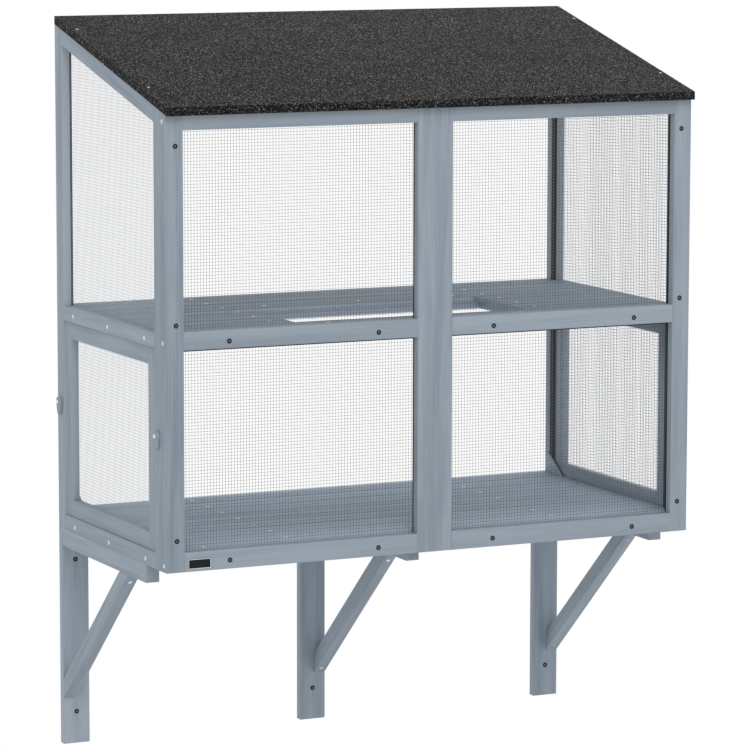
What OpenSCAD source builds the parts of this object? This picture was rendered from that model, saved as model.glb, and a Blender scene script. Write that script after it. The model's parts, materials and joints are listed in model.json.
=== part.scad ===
// Outdoor cat enclosure that hangs on a wall in front of an open window.
// Two netted frames stand side by side in front, a framed side closes each end,
// and the back is open to the wall. A shelf with a passage makes two levels.
// The lower net panel of each side lifts out once its turn buttons hang down.
// X runs along the wall, Y points into it and Z is up. The wall is the plane
// Y = 0. The origin lies on it, in the middle of the outer legs' four bolts.
// Heights of the box are taken from its underside, which lies box_z higher.

/* [Enclosure] */
// Width over the side frames
width = 1150; // [1000:10:1400]
// Depth from the front face to the wall
depth = 575; // [500:5:700]
// Height of the front face under the roof
front_height = 885.5; // [860:0.5:1000]
// How much higher the rear is than the front
roof_rise = 144.7; // [100:0.1:200]
// Top of the mid rails
mid_rail_top = 467; // [440:1:490]
// Walking surface of the shelf
shelf_top = 461; // [436:1:484]
// Walking surface of the floor
floor_top = 41; // [40:1:48]

/* [Frame timber] */
// Thickness of the front and side frames
frame_t = 22; // [20:0.5:26]
// Width of the front frames' stiles
front_stile_w = 38; // [34:1:44]
// Height of the front frames' bottom rails
front_bottom_rail_h = 38; // [34:1:40]
// Height of the front frames' mid rails
front_mid_rail_h = 36; // [34:1:44]
// Upright height of all the top rails
top_rail_h = 31.8; // [26:0.2:40]
// Width of the side frames' front stiles
side_front_stile_w = 33.5; // [30:0.5:40]
// Width of the side frames' rear stiles
side_rear_stile_w = 35.5; // [32:0.5:40]
// Height of the side frames' mid rails
side_mid_rail_h = 35; // [32:1:40]
// Height of the side frames' bottom rails
side_bottom_rail_h = 32; // [28:1:36]
// Thickness of the rear top rail
rear_rail_t = 18; // [15:0.5:19]
// Height of the rear top rail
rear_rail_h = 35; // [28:1:42]

/* [Net and retaining strips] */
// Width of the rebate round each opening
rebate_w = 15.5; // [10:0.5:16]
// Depth of the rebate in the timber
rebate_depth = 4.5; // [3:0.5:6]
// Thickness of the net
net_t = 1; // [0.8:0.1:1.5]
// Width of one bar of the net
net_bar = 3; // [2:0.5:4]
// Spacing of the net's bars
net_pitch = 68; // [60:1:90]
// Gap between the net's edge and the rebate's wall
net_gap = 0.5; // [0.2:0.1:2]
// How far the strips under the front mid rails hang below them
strip_drop = 4.5; // [0:0.5:8]
// How far the strips of the lower side openings stand into them
stop_lip = 2; // [1.5:0.1:4]
// Gap where one strip or batten butts on another
butt_gap = 0.2; // [0.1:0.1:0.8]

/* [Lift-out panels] */
// Thickness of the panels' timber
panel_t = 15; // [12:0.5:16]
// Width of the panels' timber
panel_timber_w = 34; // [28:1:40]
// Gap round the sides and the top of a panel
panel_gap = 1; // [0.5:0.1:1.4]
// Gap under a panel, where it stands on the bottom rail
panel_seat_gap = 0.3; // [0.2:0.1:0.5]
// Gap between a panel and the strips that stop it
panel_stop_gap = 0.3; // [0.2:0.1:0.8]
// How far a panel's net laps over its timber
panel_net_lap = 12; // [8:1:20]

/* [Turn buttons] */
// Height of the pivots above the underside
button_z = 263; // [150:1:330]
// Radius of the round head
button_r = 10; // [8:0.5:12]
// Radius of the tip
button_tip_r = 3.5; // [2:0.5:5]
// Distance from the pivot to the end of the tip
button_reach = 26; // [24:0.5:40]
// Thickness of a button
button_t = 7; // [5:0.5:10]
// Running gap on both faces of a button
button_face_gap = 0.3; // [0.2:0.1:0.5]
// Radius of the pivot screw's shank
pivot_r = 2; // [1.5:0.25:2.5]
// Gap between the shank and its holes
pivot_gap = 0.08; // [0.05:0.01:0.1]
// Radius of the pivot screw's head
pivot_head_r = 4.2; // [3.5:0.1:6]
// Height of the pivot screw's head
pivot_head_h = 2.2; // [1.5:0.1:3]
// Depth of the pivot screw in the stile
pivot_depth = 14; // [10:0.5:15]

/* [Shelf and floor] */
// Number of planks from front to rear
plank_count = 7; // [6:1:9]
// Thickness of the planks
plank_t = 9; // [8:0.5:12]
// Gap between neighbouring planks
plank_gap = 0.4; // [0.2:0.1:3]
// Gap between the planks' ends and the frames
plank_end_gap = 0.5; // [0.2:0.1:2]
// Planks in front of the passage
passage_first = 1; // [1:1:2]
// Planks that the passage interrupts
passage_planks = 3; // [2:1:3]
// Length of the passage along the shelf
passage_w = 516; // [400:2:540]
// Width of the battens
batten_w = 20; // [18:1:24]
// Height of the shelf's battens
shelf_batten_h = 20; // [16:1:24]
// Distance of the inner battens from the middle
inner_batten_x = 295; // [292:1:320]
// Distance of the outer battens from the side frames
outer_batten_inset = 14; // [2:1:40]
// How far the planks reach past the battens at the passage
passage_reveal = 27; // [10:1:34]

/* [Roof] */
// Overhang of the roof in front
roof_overhang = 13.5; // [8:0.5:20]
// Overhang of the roof at each side
roof_side_overhang = 1; // [0:0.5:4]
// Upright thickness of the roof with its felt
roof_t = 16.75; // [14:0.25:20]
// Thickness of the felt
felt_t = 2; // [1:0.1:3]

/* [Wall brackets] */
// Width of the legs
leg_w = 56.5; // [50:0.5:70]
// Thickness of the legs
leg_t = 18; // [16:0.5:22]
// Length of the legs below the underside
leg_h = 451.5; // [430:0.5:520]
// Middle of the middle leg
middle_leg_x = -11; // [-30:1:30]
// Depth of the upper wall bolts below the underside
bolt_top = 66; // [50:1:100]
// Depth of the lower wall bolts below the underside
bolt_bottom = 385; // [365:1:410]
// Radius of the wall bolts' holes
bolt_r = 3.5; // [2.5:0.25:4.5]
// Width of the arms
arm_w = 28; // [26:1:36]
// Height of the arms
arm_h = 36; // [30:1:44]
// Distance of the arms' ends behind the front face
arm_setback = 105; // [60:1:160]
// Corner cut off below the arms' ends
arm_chamfer = 12; // [4:1:20]
// Thickness of the braces
brace_t = 26; // [20:1:26]
// Width of the braces
brace_w = 31; // [26:1:36]
// Depth of the braces' feet below the underside
brace_drop = 352.5; // [330:0.5:360]
// Reach of the braces in front of the legs
brace_run = 359; // [300:1:380]

/* [Corner gussets] */
// Length of the gussets along the floor
gusset_foot = 96; // [60:1:140]
// Length of the gussets along their top
gusset_top = 25; // [10:1:35]
// Height of the gussets
gusset_h = 45; // [30:1:70]
// Thickness of the gussets
gusset_t = 5; // [3:0.5:14]

/* [Hidden] */
left = -1;
right = 1;
round_fn = 48;
box_z = (bolt_top + bolt_bottom) / 2;
half_w = width / 2;
// Planes of the box, from front to rear and from the left end inwards
front_y = -depth;
inner_front_y = front_y + frame_t;
inner_side_x = half_w - frame_t;
// Height of the rear under the roof
rear_height = front_height + roof_rise;
roof_slope = roof_rise / depth;
strip_t = rebate_depth - net_t;
// Openings of the front frames
bay_x0 = front_stile_w;
bay_x1 = half_w - front_stile_w;
lower_bay_z0 = front_bottom_rail_h;
lower_bay_z1 = mid_rail_top - front_mid_rail_h;
upper_bay_z1 = front_height - top_rail_h;
// Openings of the side frames
side_y0 = inner_front_y + side_front_stile_w;
side_y1 = -side_rear_stile_w;
door_z0 = side_bottom_rail_h;
door_z1 = mid_rail_top - side_mid_rail_h;
// Outline of a lift-out panel and its depth behind the side's outer face
panel_y0 = side_y0 + panel_gap;
panel_y1 = side_y1 - panel_gap;
panel_z0 = door_z0 + panel_seat_gap;
panel_z1 = door_z1 - panel_gap;
panel_inner_x = frame_t - strip_t - panel_stop_gap;
panel_outer_x = panel_inner_x - panel_t;
panel_net_y0 = panel_y0 + panel_timber_w - panel_net_lap;
panel_net_y1 = panel_y1 - panel_timber_w + panel_net_lap;
panel_net_z0 = panel_z0 + panel_timber_w - panel_net_lap;
panel_net_z1 = panel_z1 - panel_timber_w + panel_net_lap;
// Pivots of the turn buttons, in the middle of the side frames' stiles
front_pivot_y = inner_front_y + side_front_stile_w / 2;
rear_pivot_y = -side_rear_stile_w / 2;
// Planks and the passage between the levels
plank_pitch = -inner_front_y / plank_count;
passage_y0 = inner_front_y + passage_first * plank_pitch;
passage_y1 = passage_y0 + passage_planks * plank_pitch;
batten_top = shelf_top - plank_t;
cross_front_y = passage_y0 - passage_reveal;
cross_rear_y = passage_y1 + passage_reveal;
outer_batten_x = inner_side_x - outer_batten_inset - batten_w / 2;
// Brace angle, from the lower edge's two ends
brace_angle = atan2(brace_drop - arm_h, brace_run);
painted = "#8f9ca8";
painted_side = "#87949f";
mesh_grey = "#c3c7ca";
strip_black = "#1d1f22";
felt_black = "#3b3c3e";
bare_wood = "#8a7355";
screw_grey = "#a9adb0";

// Height of the roof's underside over a place from front to rear
function roof_z(y) = rear_height + roof_slope * y;
// Lower edge of the sloped side rails
function side_bay_top(y) = roof_z(y) - top_rail_h;
// Outline of a side frame's upper opening, grown by g
function side_bay(g) = [
    [side_y0 - g, mid_rail_top - g],
    [side_y1 + g, mid_rail_top - g],
    [side_y1 + g, side_bay_top(side_y1 + g) + g],
    [side_y0 - g, side_bay_top(side_y0 - g) + g]];
// Outline of a side frame's lower opening, grown by g
function door_bay(g) = [
    [side_y0 - g, door_z0 - g],
    [side_y1 + g, door_z0 - g],
    [side_y1 + g, door_z1 + g],
    [side_y0 - g, door_z1 + g]];

// A straight bar between two corners
module bar(x0, x1, y0, y1, z0, z1)
    translate([x0, y0, z0]) cube([x1 - x0, y1 - y0, z1 - z0]);

// An outline in Y and Z, drawn out along X
module along_x(x0, x1, outline)
    translate([x0, 0, 0])
        rotate([90, 0, 90])
            linear_extrude(x1 - x0)
                polygon(outline);

// An upright whose top is cut to the roof's slope
module sloped_post(x0, x1, y0, y1, z0)
    along_x(x0, x1, [[y0, z0], [y1, z0], [y1, roof_z(y1)], [y0, roof_z(y0)]]);

// Puts what is built for the left end at the chosen end
module at_end(side)
    if (side < 0) translate([0, 0, box_z]) children();
    else mirror([1, 0, 0]) translate([0, 0, box_z]) children();

// A flat net with square gaps, as wide and high as given
module net_grid(w, h) {
    columns = max(1, round(w / net_pitch));
    rows = max(1, round(h / net_pitch));
    cell_w = (w - net_bar) / columns;
    cell_h = (h - net_bar) / rows;
    difference() {
        square([w, h]);
        for (i = [0 : columns - 1], j = [0 : rows - 1])
            translate([net_bar + i * cell_w, net_bar + j * cell_h])
                square([cell_w - net_bar, cell_h - net_bar]);
    }
}

// Front frames, built for the left one and mirrored for the right one

// The rebate behind one opening of a front frame
module front_rebate(z0, z1)
    bar(-bay_x1 - rebate_w, -bay_x0 + rebate_w, inner_front_y - rebate_depth,
        inner_front_y + 1, z0 - rebate_w, z1 + rebate_w);

module front_rebates() {
    front_rebate(lower_bay_z0, lower_bay_z1);
    front_rebate(mid_rail_top, upper_bay_z1);
}

module front_stile(side, x0)
    color(painted) at_end(side)
        difference() {
            sloped_post(x0, x0 + front_stile_w, front_y, inner_front_y, 0);
            front_rebates();
        }

module front_rail(side, z0, z1)
    color(painted) at_end(side)
        difference() {
            bar(-bay_x1, -bay_x0, front_y, inner_front_y, z0, z1);
            front_rebates();
        }

module front_top_rail(side)
    color(painted) at_end(side)
        difference() {
            sloped_post(-bay_x1, -bay_x0, front_y, inner_front_y, upper_bay_z1);
            front_rebates();
        }

// The net of one opening, laid in its rebate
module front_bay_net(z0, z1) {
    lap = rebate_w - net_gap;
    translate([-bay_x1 - lap, inner_front_y - strip_t, z0 - lap])
        rotate([90, 0, 0])
            linear_extrude(net_t)
                net_grid(bay_x1 - bay_x0 + 2 * lap, z1 - z0 + 2 * lap);
}

module front_net(side)
    color(mesh_grey) at_end(side) {
        front_bay_net(lower_bay_z0, lower_bay_z1);
        front_bay_net(mid_rail_top, upper_bay_z1);
    }

// Four strips round one opening: two uprights with two bars between them, the
// upper of which hangs below the rail by drop
module front_bay_strips(z0, z1, drop) {
    y0 = inner_front_y - strip_t;
    x0 = -bay_x1 + butt_gap;
    x1 = -bay_x0 - butt_gap;
    for (x = [-bay_x1 - rebate_w, -bay_x0])
        bar(x, x + rebate_w, y0, inner_front_y, z0 - rebate_w, z1 + rebate_w);
    bar(x0, x1, y0, inner_front_y, z0 - rebate_w, z0);
    bar(x0, x1, y0, inner_front_y, z1 - drop, z1 + rebate_w);
}

module front_net_strips()
    color(strip_black)
        for (side = [left, right]) at_end(side) {
            front_bay_strips(lower_bay_z0, lower_bay_z1, strip_drop);
            front_bay_strips(mid_rail_top, upper_bay_z1, 0);
        }

// Side frames, built for the left end and mirrored for the right end

module side_rebates() {
    along_x(-inner_side_x - rebate_depth, -inner_side_x + 1, side_bay(rebate_w));
    along_x(-inner_side_x - rebate_depth, -inner_side_x + 1, door_bay(rebate_w));
}

// The hole in a stile for a turn button's screw
module pivot_hole(y)
    translate([-half_w, y, button_z])
        rotate([0, 90, 0])
            translate([0, 0, -1])
                cylinder(h = pivot_depth + 1, r = pivot_r + pivot_gap, $fn = round_fn);

module side_front_stile(side)
    color(painted_side) at_end(side)
        difference() {
            sloped_post(-half_w, -inner_side_x, inner_front_y, side_y0, 0);
            side_rebates();
            pivot_hole(front_pivot_y);
        }

module side_rear_stile(side)
    color(painted_side) at_end(side)
        difference() {
            sloped_post(-half_w, -inner_side_x, side_y1, 0, 0);
            side_rebates();
            pivot_hole(rear_pivot_y);
        }

module side_rail(side, z0, z1)
    color(painted_side) at_end(side)
        difference() {
            bar(-half_w, -inner_side_x, side_y0, side_y1, z0, z1);
            side_rebates();
        }

module side_top_rail(side)
    color(painted_side) at_end(side)
        difference() {
            along_x(-half_w, -inner_side_x, [
                [side_y0, side_bay_top(side_y0)],
                [side_y1, side_bay_top(side_y1)],
                [side_y1, roof_z(side_y1)],
                [side_y0, roof_z(side_y0)]]);
            side_rebates();
        }

// The upper net has a sloped top, so its gaps are cut to the same slope
module side_net(side) {
    lap = rebate_w - net_gap;
    outline = side_bay(lap);
    y0 = side_y0 - lap;
    z0 = mid_rail_top - lap;
    w = side_y1 - side_y0 + 2 * lap;
    h = outline[2][1] - z0;
    columns = round(w / net_pitch);
    rows = round(h / net_pitch);
    cell_w = (w - net_bar) / columns;
    cell_h = (h - net_bar) / rows;
    color(mesh_grey) at_end(side)
        translate([-inner_side_x - rebate_depth, 0, 0])
            rotate([90, 0, 90])
                linear_extrude(net_t)
                    difference() {
                        polygon(outline);
                        intersection() {
                            polygon(side_bay(lap - net_bar));
                            for (i = [0 : columns - 1], j = [0 : rows - 1])
                                translate([y0 + net_bar + i * cell_w, z0 + net_bar + j * cell_h])
                                    square([cell_w - net_bar, cell_h - net_bar]);
                        }
                    }
}

// The strips of the upper opening are flush with it, and those of the lower one
// stand into it as a stop for the panel
module side_net_strips(side) {
    x0 = -inner_side_x - strip_t;
    stop_w = rebate_w + stop_lip;
    bar_y0 = side_y0 + butt_gap;
    bar_y1 = side_y1 - butt_gap;
    color(strip_black) at_end(side) {
        for (y = [side_y0 - rebate_w, side_y1])
            along_x(x0, -inner_side_x, [
                [y, mid_rail_top - rebate_w],
                [y + rebate_w, mid_rail_top - rebate_w],
                [y + rebate_w, side_bay_top(y + rebate_w) + rebate_w],
                [y, side_bay_top(y) + rebate_w]]);
        along_x(x0, -inner_side_x, [
            [bar_y0, side_bay_top(bar_y0)],
            [bar_y1, side_bay_top(bar_y1)],
            [bar_y1, side_bay_top(bar_y1) + rebate_w],
            [bar_y0, side_bay_top(bar_y0) + rebate_w]]);
        bar(x0, -inner_side_x, bar_y0, bar_y1, mid_rail_top - rebate_w, mid_rail_top);
        for (y = [side_y0 - rebate_w, side_y1 - stop_lip])
            bar(x0, -inner_side_x, y, y + stop_w, door_z0 - rebate_w, door_z1 + rebate_w);
        for (z = [door_z0 - rebate_w, door_z1 - stop_lip])
            bar(x0, -inner_side_x, bar_y0 + stop_lip, bar_y1 - stop_lip, z, z + stop_w);
    }
}

// Lift-out panels, built for the left end and mirrored for the right end

module panel_bar(side, y0, y1, z0, z1)
    color(painted_side) at_end(side)
        bar(-half_w + panel_outer_x, -half_w + panel_inner_x, y0, y1, z0, z1);

module panel_stile(side, y0)
    panel_bar(side, y0, y0 + panel_timber_w, panel_z0, panel_z1);

module panel_rail(side, z0)
    panel_bar(side, panel_y0 + panel_timber_w, panel_y1 - panel_timber_w,
        z0, z0 + panel_timber_w);

module panel_net(side)
    color(mesh_grey) at_end(side)
        translate([-half_w + panel_inner_x, panel_net_y0, panel_net_z0])
            rotate([90, 0, 90])
                linear_extrude(net_t)
                    net_grid(panel_net_y1 - panel_net_y0, panel_net_z1 - panel_net_z0);

// Turn buttons: a round head that tapers to a small round tip

module turn_button(side, y) {
    tip_d = button_reach - button_tip_r;
    lean = asin((button_r - button_tip_r) / tip_d);
    color(painted_side) at_end(side)
        translate([-half_w - button_face_gap - button_t, y, button_z])
            rotate([90, 0, 90])
                linear_extrude(button_t)
                    difference() {
                        union() {
                            circle(r = button_r, $fn = round_fn);
                            translate([0, -tip_d]) circle(r = button_tip_r, $fn = round_fn);
                            polygon([
                                [button_r * cos(lean), -button_r * sin(lean)],
                                [-button_r * cos(lean), -button_r * sin(lean)],
                                [-button_tip_r * cos(lean), -tip_d - button_tip_r * sin(lean)],
                                [button_tip_r * cos(lean), -tip_d - button_tip_r * sin(lean)]]);
                        }
                        circle(r = pivot_r + pivot_gap, $fn = round_fn);
                    }
}

// The screws that the buttons turn on, with flat round heads
module pivot_screw(y) {
    head_x = -half_w - button_t - 2 * button_face_gap;
    translate([head_x, y, button_z])
        rotate([0, 90, 0]) {
            cylinder(h = -half_w + pivot_depth - head_x, r = pivot_r, $fn = round_fn);
            translate([0, 0, -pivot_head_h])
                cylinder(h = pivot_head_h, r1 = pivot_head_r * 0.75, r2 = pivot_head_r,
                    $fn = round_fn);
        }
}

module button_screws()
    color(screw_grey)
        for (side = [left, right], y = [front_pivot_y, rear_pivot_y])
            at_end(side) pivot_screw(y);

// Rear rail and roof

module rear_top_rail()
    color(painted) translate([0, 0, box_z])
        along_x(-inner_side_x, inner_side_x, [
            [-rear_rail_t, roof_z(-rear_rail_t) - rear_rail_h],
            [0, roof_z(-rear_rail_t) - rear_rail_h],
            [0, roof_z(0)],
            [-rear_rail_t, roof_z(-rear_rail_t)]]);

// A slab set in by g from the roof's edges, between two heights over its underside
module roof_slab(g, z0, z1) {
    half = half_w + roof_side_overhang - g;
    y0 = front_y - roof_overhang + g;
    y1 = -g;
    along_x(-half, half, [
        [y0, roof_z(y0) + z0],
        [y1, roof_z(y1) + z0],
        [y1, roof_z(y1) + z1],
        [y0, roof_z(y0) + z1]]);
}

module roof_board()
    color(bare_wood) translate([0, 0, box_z])
        roof_slab(felt_t, 0, roof_t - felt_t);

// The felt lies on the board and is turned down over its four edges
module roof_felt()
    color(felt_black) translate([0, 0, box_z])
        difference() {
            roof_slab(0, 0, roof_t);
            roof_slab(felt_t, -1, roof_t - felt_t);
        }

// Shelf and floor

// One plank from end to end
module plank(i, z) {
    y0 = inner_front_y + i * plank_pitch;
    bar(-inner_side_x + plank_end_gap, inner_side_x - plank_end_gap,
        y0 + plank_gap / 2, y0 + plank_pitch - plank_gap / 2, z - plank_t, z);
}

module shelf_boards()
    color(painted) translate([0, 0, box_z])
        for (i = [0 : plank_count - 1])
            difference() {
                plank(i, shelf_top);
                if (i >= passage_first && i < passage_first + passage_planks)
                    bar(-passage_w / 2, passage_w / 2, passage_y0 - 1, passage_y1 + 1,
                        shelf_top - plank_t - 1, shelf_top + 1);
            }

module floor_boards()
    color(painted) translate([0, 0, box_z])
        for (i = [0 : plank_count - 1])
            plank(i, floor_top);

// A batten from front to rear about the place x
module long_batten(x, y0, y1, z0, z1)
    bar(x - batten_w / 2, x + batten_w / 2, y0, y1, z0, z1);

module floor_battens()
    color(painted) translate([0, 0, box_z])
        for (x = [-outer_batten_x, -inner_batten_x, 0, inner_batten_x, outer_batten_x])
            long_batten(x, inner_front_y, 0, 0, floor_top - plank_t);

// The shelf's middle batten stops at two cross battens round the passage
module shelf_battens() {
    z0 = batten_top - shelf_batten_h;
    cross_x = inner_batten_x - batten_w / 2 - butt_gap;
    color(painted) translate([0, 0, box_z]) {
        for (x = [-outer_batten_x, -inner_batten_x, inner_batten_x, outer_batten_x])
            long_batten(x, inner_front_y, 0, z0, batten_top);
        for (y = [cross_front_y - batten_w, cross_rear_y])
            bar(-cross_x, cross_x, y, y + batten_w, z0, batten_top);
        long_batten(0, inner_front_y, cross_front_y - batten_w - butt_gap, z0, batten_top);
        long_batten(0, cross_rear_y + batten_w + butt_gap, 0, z0, batten_top);
    }
}

// Wall brackets: a leg on the wall, an arm under the box and a brace

// Left edge of the left, the middle and the right leg
function leg_x0(i) = [-half_w, middle_leg_x - leg_w / 2, half_w - leg_w][i];
// The left bracket's arm and brace stand at the leg's outer edge, and the
// others at its right edge
function member_x0(i, w) = i == 0 ? leg_x0(i) : leg_x0(i) + leg_w - w;

module leg(i)
    color(painted) translate([0, 0, box_z])
        difference() {
            bar(leg_x0(i), leg_x0(i) + leg_w, -leg_t, 0, -leg_h, 0);
            for (z = [-bolt_top, -bolt_bottom])
                translate([leg_x0(i) + leg_w / 2, 1, z])
                    rotate([90, 0, 0])
                        cylinder(h = leg_t + 2, r = bolt_r, $fn = round_fn);
        }

module arm(i)
    color(painted) translate([0, 0, box_z])
        along_x(member_x0(i, arm_w), member_x0(i, arm_w) + arm_w, [
            [-leg_t, 0],
            [front_y + arm_setback, 0],
            [front_y + arm_setback, arm_chamfer - arm_h],
            [front_y + arm_setback + arm_chamfer, -arm_h],
            [-leg_t, -arm_h]]);

module brace(i)
    color(painted) translate([0, 0, box_z])
        along_x(member_x0(i, brace_t), member_x0(i, brace_t) + brace_t, [
            [-leg_t, -brace_drop],
            [-leg_t, brace_w / cos(brace_angle) - brace_drop],
            [brace_w / sin(brace_angle) - leg_t - brace_run, -arm_h],
            [-leg_t - brace_run, -arm_h]]);

// A plate on the floor in each rear corner, flat against the side frame
module corner_gussets()
    color(painted_side)
        for (side = [left, right]) at_end(side)
            along_x(-inner_side_x, gusset_t - inner_side_x, [
                [0, floor_top],
                [0, floor_top + gusset_h],
                [-gusset_top, floor_top + gusset_h],
                [-gusset_foot, floor_top]]);

front_stile(left, -half_w);  // front_stile_outer_left
front_stile(left, -front_stile_w);  // front_stile_inner_left
front_stile(right, -front_stile_w);  // front_stile_inner_right
front_stile(right, -half_w);  // front_stile_outer_right
front_top_rail(left);  // front_top_rail_left
front_top_rail(right);  // front_top_rail_right
front_rail(left, lower_bay_z1, mid_rail_top);  // front_mid_rail_left
front_rail(right, lower_bay_z1, mid_rail_top);  // front_mid_rail_right
front_rail(left, 0, lower_bay_z0);  // front_bottom_rail_left
front_rail(right, 0, lower_bay_z0);  // front_bottom_rail_right
front_net(left);  // front_net_left
front_net(right);  // front_net_right
front_net_strips();
side_front_stile(left);  // side_front_stile_left
side_front_stile(right);  // side_front_stile_right
side_rear_stile(left);  // side_rear_stile_left
side_rear_stile(right);  // side_rear_stile_right
side_top_rail(left);  // side_top_rail_left
side_top_rail(right);  // side_top_rail_right
side_rail(left, door_z1, mid_rail_top);  // side_mid_rail_left
side_rail(right, door_z1, mid_rail_top);  // side_mid_rail_right
side_rail(left, 0, door_z0);  // side_bottom_rail_left
side_rail(right, 0, door_z0);  // side_bottom_rail_right
side_net(left);  // side_net_left
side_net(right);  // side_net_right
side_net_strips(left);  // side_net_strips_left
side_net_strips(right);  // side_net_strips_right
panel_stile(left, panel_y0);  // panel_front_stile_left
panel_stile(right, panel_y0);  // panel_front_stile_right
panel_stile(left, panel_y1 - panel_timber_w);  // panel_rear_stile_left
panel_stile(right, panel_y1 - panel_timber_w);  // panel_rear_stile_right
panel_rail(left, panel_z1 - panel_timber_w);  // panel_top_rail_left
panel_rail(right, panel_z1 - panel_timber_w);  // panel_top_rail_right
panel_rail(left, panel_z0);  // panel_bottom_rail_left
panel_rail(right, panel_z0);  // panel_bottom_rail_right
panel_net(left);  // panel_net_left
panel_net(right);  // panel_net_right
turn_button(left, front_pivot_y);  // turn_button_front_left
turn_button(right, front_pivot_y);  // turn_button_front_right
turn_button(left, rear_pivot_y);  // turn_button_rear_left
turn_button(right, rear_pivot_y);  // turn_button_rear_right
button_screws();
rear_top_rail();
roof_board();
roof_felt();
shelf_boards();
shelf_battens();
floor_boards();
floor_battens();
leg(0);  // leg_left
leg(1);  // leg_middle
leg(2);  // leg_right
arm(0);  // arm_left
arm(1);  // arm_middle
arm(2);  // arm_right
brace(0);  // brace_left
brace(1);  // brace_middle
brace(2);  // brace_right
corner_gussets();
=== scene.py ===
import json
import math

import bmesh
import bpy
from mathutils import Matrix, Vector

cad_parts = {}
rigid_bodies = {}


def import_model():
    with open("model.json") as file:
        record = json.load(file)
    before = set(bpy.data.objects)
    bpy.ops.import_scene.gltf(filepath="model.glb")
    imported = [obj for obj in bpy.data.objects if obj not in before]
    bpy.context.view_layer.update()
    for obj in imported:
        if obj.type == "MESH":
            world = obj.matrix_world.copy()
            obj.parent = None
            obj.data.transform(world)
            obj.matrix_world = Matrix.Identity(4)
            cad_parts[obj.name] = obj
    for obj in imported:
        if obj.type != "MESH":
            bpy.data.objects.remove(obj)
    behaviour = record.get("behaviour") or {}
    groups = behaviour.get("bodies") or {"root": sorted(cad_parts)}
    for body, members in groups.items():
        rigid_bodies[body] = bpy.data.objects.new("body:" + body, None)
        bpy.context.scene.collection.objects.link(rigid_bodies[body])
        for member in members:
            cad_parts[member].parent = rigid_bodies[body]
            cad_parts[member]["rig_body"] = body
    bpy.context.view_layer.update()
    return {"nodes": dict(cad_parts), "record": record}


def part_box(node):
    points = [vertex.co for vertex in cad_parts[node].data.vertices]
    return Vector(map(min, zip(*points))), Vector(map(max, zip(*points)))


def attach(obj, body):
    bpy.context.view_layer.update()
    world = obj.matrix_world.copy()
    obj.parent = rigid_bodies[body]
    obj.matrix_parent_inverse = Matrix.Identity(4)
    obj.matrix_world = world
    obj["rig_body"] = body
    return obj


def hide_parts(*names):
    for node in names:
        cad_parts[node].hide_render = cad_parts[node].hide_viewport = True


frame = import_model()

MM = 0.001
X_AXIS = Vector((1, 0, 0))
Y_AXIS = Vector((0, 1, 0))
Z_AXIS = Vector((0, 0, 1))

# Sizes of the frame
DEPTH = 575 * MM
ROOF_RISE = 144.7 * MM
ROOF_SLOPE = ROOF_RISE / DEPTH
BOX_Z = 225.5 * MM
FRONT_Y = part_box("front_stile_outer_left")[0].y
BRACE_LOW, BRACE_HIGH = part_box("brace_left")

# Faces and levels of the box in millimetres, from its middle and its underside
FRONT_FACE = -575
END_FACE = 575
FLOOR_TOP = 41
SHELF_TOP = 461

# Camera, at the photograph's viewing angle
CAMERA_PLACE = Vector((-3.4990, -7.6315, 1.6571))
CAMERA_YAW = 25.513
CAMERA_PITCH = -7.795
CAMERA_ROLL = 0.101
CAMERA_LENS = 193.2

# Floor of the studio, well below the legs
FLOOR_MIDDLE = Vector((0, -0.3, -1.0))
FLOOR_RADIUS = 2.8
FLOOR_SIDES = 96

# Light. Each lamp has a name, a place, a width and a power in watts
SKY_LIGHT = 0.84
LAMPS = (("key", (-1.0, -3.6, 4.4), 2.6, 46),
         ("fill", (3.8, -4.2, 2.0), 2.6, 5),
         ("side", (4.6, 1.0, 2.6), 2.6, 14))
LAMP_AIM = Vector((0, -0.3, 0.5))

# Timber: eased edges, planks and growth rings
EASED_EDGE = 0.6 * MM
FINE_EASED_EDGE = 0.35 * MM
FELT_EASED_EDGE = 1.2 * MM
PLANK_COUNT = 7
PLANK_PITCH = 79 * MM
RING_PITCH = 4.5 * MM

# Limits for finding edges, for smooth shading and for points that count as one
SHARP_ANGLE = math.radians(12)
FLAT_ANGLE = math.radians(1)
SMOOTH_ANGLE = math.radians(40)
NEAR = 0.1 * MM
MERGE = 0.01 * MM

# Timber that differs a little from the frame's
ARM_CORNER = 13 * MM
BRACE_FOOT_DROP = 3.5 * MM
SIDE_RAIL_DROP = 6 * MM
GUSSET_THINNER = 2.5 * MM
GUSSET_LOWER = 3 * MM
GUSSET_REAR_CUT = 6 * MM
GUSSET_FRONT_CUT = 13 * MM
GUSSET_TOP_CUT = 4 * MM
PANEL_SWELL = 0.4 * MM
STILE_WIDER = 5 * MM

# Height of the strips along the foot of an opening
FOOT_H = 12.4 * MM

# Welded wire: two layers of wires within the net's thickness
WIRE_PITCH = 6.35 * MM
WIRE_D = 0.58 * MM
WIRE_SIDES = 6

# Screws and nails
PIVOT_Z = BOX_Z + 263 * MM
PIVOT_HEAD_R = 4.2 * MM
PIVOT_HEAD_RISE = 2.2 * MM
# The black ring round each cap screw, painted shade for its countersink
SHADE_RING_R = 5.0 * MM
SHADE_RING_HOLE_R = 2.1 * MM
SHADE_RING_RISE = 0.9 * MM
CAP_HEAD_R = 2.2 * MM
CAP_HEAD_RISE = 0.6 * MM
SIDE_HEAD_R = 4.0 * MM
SIDE_HEAD_RISE = 0.5 * MM
BOARD_HEAD_R = 4.0 * MM
BOARD_HEAD_RISE = 0.3 * MM
NAIL_HEAD_R = 3.0 * MM
NAIL_HEAD_RISE = 0.4 * MM
NAIL_TAPER = 0.9
HEAD_SIDES = 16
SHADE_RING_STEPS = 5
SHADE_RING_SIDES = 20

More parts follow.
